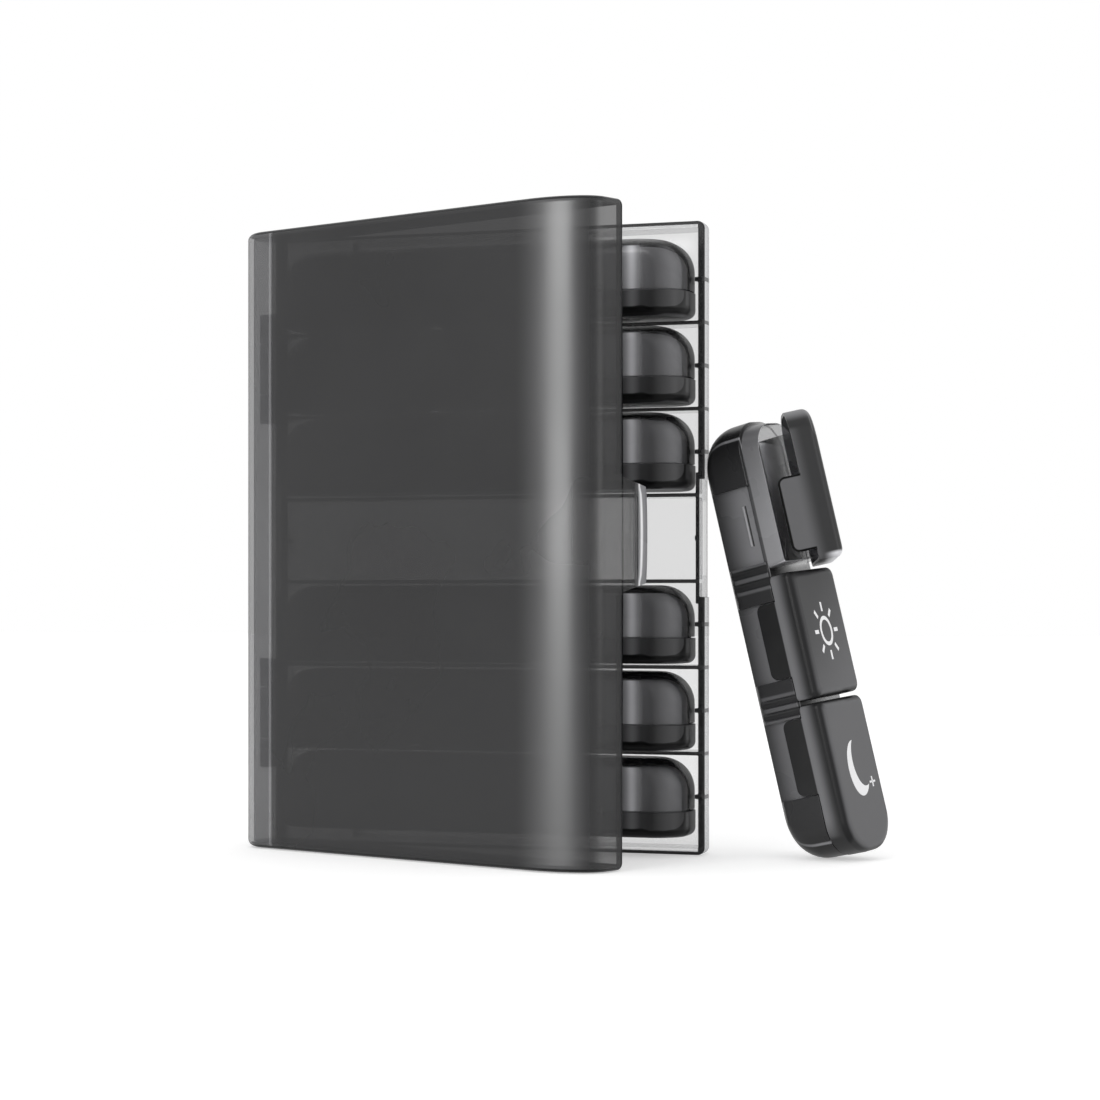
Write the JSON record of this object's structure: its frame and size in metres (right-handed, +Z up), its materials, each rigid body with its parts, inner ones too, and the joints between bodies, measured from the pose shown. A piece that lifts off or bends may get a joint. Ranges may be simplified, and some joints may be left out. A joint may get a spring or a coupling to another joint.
{
  "type": "pill organizer",
  "caption": "Hinged pocket case with a bay for each day's pill box; each box has snap-lid compartments for morning, noon and night.",
  "frame": {"origin": "middle of the tray's flat bottom end, on the surface the case stands on", "axes": "+Z up along the case's height, +X from the hinge side to the free side, +Y from the cover to the tray's back"},
  "size_m": [0.1799, 0.0752, 0.172],
  "materials": {
    "clear_smoke": "clear, slightly smoky, glossy",
    "dark_smoke": "dark translucent, satin gloss",
    "black_smoke": "near-black translucent, gloss",
    "black_plastic": "near-black, satin gloss",
    "steel_pin": "drawn steel"
  },
  "bodies": {
    "tray": {"rear_tray": "clear_smoke", "lower_hinge_pin": "steel_pin", "upper_hinge_pin": "steel_pin"},
    "cover": {"front_cover": "dark_smoke"},
    "sunday_body": {"sunday_box": "black_smoke", "sunday_morning_lid": "black_plastic", "sunday_noon_lid": "black_plastic", "sunday_night_lid": "black_plastic"},
    "monday_body": {"monday_box": "black_smoke", "monday_morning_lid": "black_plastic", "monday_noon_lid": "black_plastic", "monday_night_lid": "black_plastic"},
    "tuesday_body": {"tuesday_box": "black_smoke", "tuesday_morning_lid": "black_plastic", "tuesday_noon_lid": "black_plastic", "tuesday_night_lid": "black_plastic"},
    "wednesday_body": {"wednesday_box": "black_smoke"},
    "wednesday_morning": {"wednesday_morning_lid": "black_plastic"},
    "wednesday_noon": {"wednesday_noon_lid": "black_plastic"},
    "wednesday_night": {"wednesday_night_lid": "black_plastic"},
    "thursday_body": {"thursday_box": "black_smoke", "thursday_morning_lid": "black_plastic", "thursday_noon_lid": "black_plastic", "thursday_night_lid": "black_plastic"},
    "friday_body": {"friday_box": "black_smoke", "friday_morning_lid": "black_plastic", "friday_noon_lid": "black_plastic", "friday_night_lid": "black_plastic"},
    "saturday_body": {"saturday_box": "black_smoke", "saturday_morning_lid": "black_plastic", "saturday_noon_lid": "black_plastic", "saturday_night_lid": "black_plastic"}
  },
  "joints": [
    {"name": "cover_hinge", "type": "hinge", "parent": "tray", "child": "cover", "pos_m": [-0.06605, -0.006, 0.086], "axis": [0, 0, -1], "range_deg": [-21, 159]},
    {"name": "sunday_tip_out", "type": "hinge", "parent": "tray", "child": "sunday_body", "pos_m": [-0.0581, -0.0181, 0.0158], "axis": [0, 0, -1], "range_deg": [0, 15]},
    {"name": "monday_tip_out", "type": "hinge", "parent": "tray", "child": "monday_body", "pos_m": [-0.0581, -0.0181, 0.0392], "axis": [0, 0, -1], "range_deg": [0, 15]},
    {"name": "tuesday_tip_out", "type": "hinge", "parent": "tray", "child": "tuesday_body", "pos_m": [-0.0581, -0.0181, 0.0626], "axis": [0, 0, -1], "range_deg": [0, 15]},
    {"name": "wednesday_lift", "type": "slide", "parent": "tray", "child": "wednesday_body", "axis": [0, 0, 1], "range_m": [0, 0.1]},
    {"name": "wednesday_morning_hinge", "type": "hinge", "parent": "wednesday_body", "child": "wednesday_morning", "pos_m": [0.08551, 0.00913, 0.0911], "axis": [-0.2284, 0, 0.9736], "range_deg": [-38, 72]},
    {"name": "wednesday_noon_hinge", "type": "hinge", "parent": "wednesday_body", "child": "wednesday_noon", "pos_m": [0.09274, 0.00913, 0.06024], "axis": [-0.2284, 0, 0.9736], "range_deg": [0, 110]},
    {"name": "wednesday_night_hinge", "type": "hinge", "parent": "wednesday_body", "child": "wednesday_night", "pos_m": [0.09998, 0.00913, 0.02938], "axis": [-0.2284, 0, 0.9736], "range_deg": [0, 110]},
    {"name": "thursday_tip_out", "type": "hinge", "parent": "tray", "child": "thursday_body", "pos_m": [-0.0581, -0.0181, 0.1094], "axis": [0, 0, -1], "range_deg": [0, 15]},
    {"name": "friday_tip_out", "type": "hinge", "parent": "tray", "child": "friday_body", "pos_m": [-0.0581, -0.0181, 0.1328], "axis": [0, 0, -1], "range_deg": [0, 15]},
    {"name": "saturday_tip_out", "type": "hinge", "parent": "tray", "child": "saturday_body", "pos_m": [-0.0581, -0.0181, 0.1562], "axis": [0, 0, -1], "range_deg": [0, 15]}
  ]
}
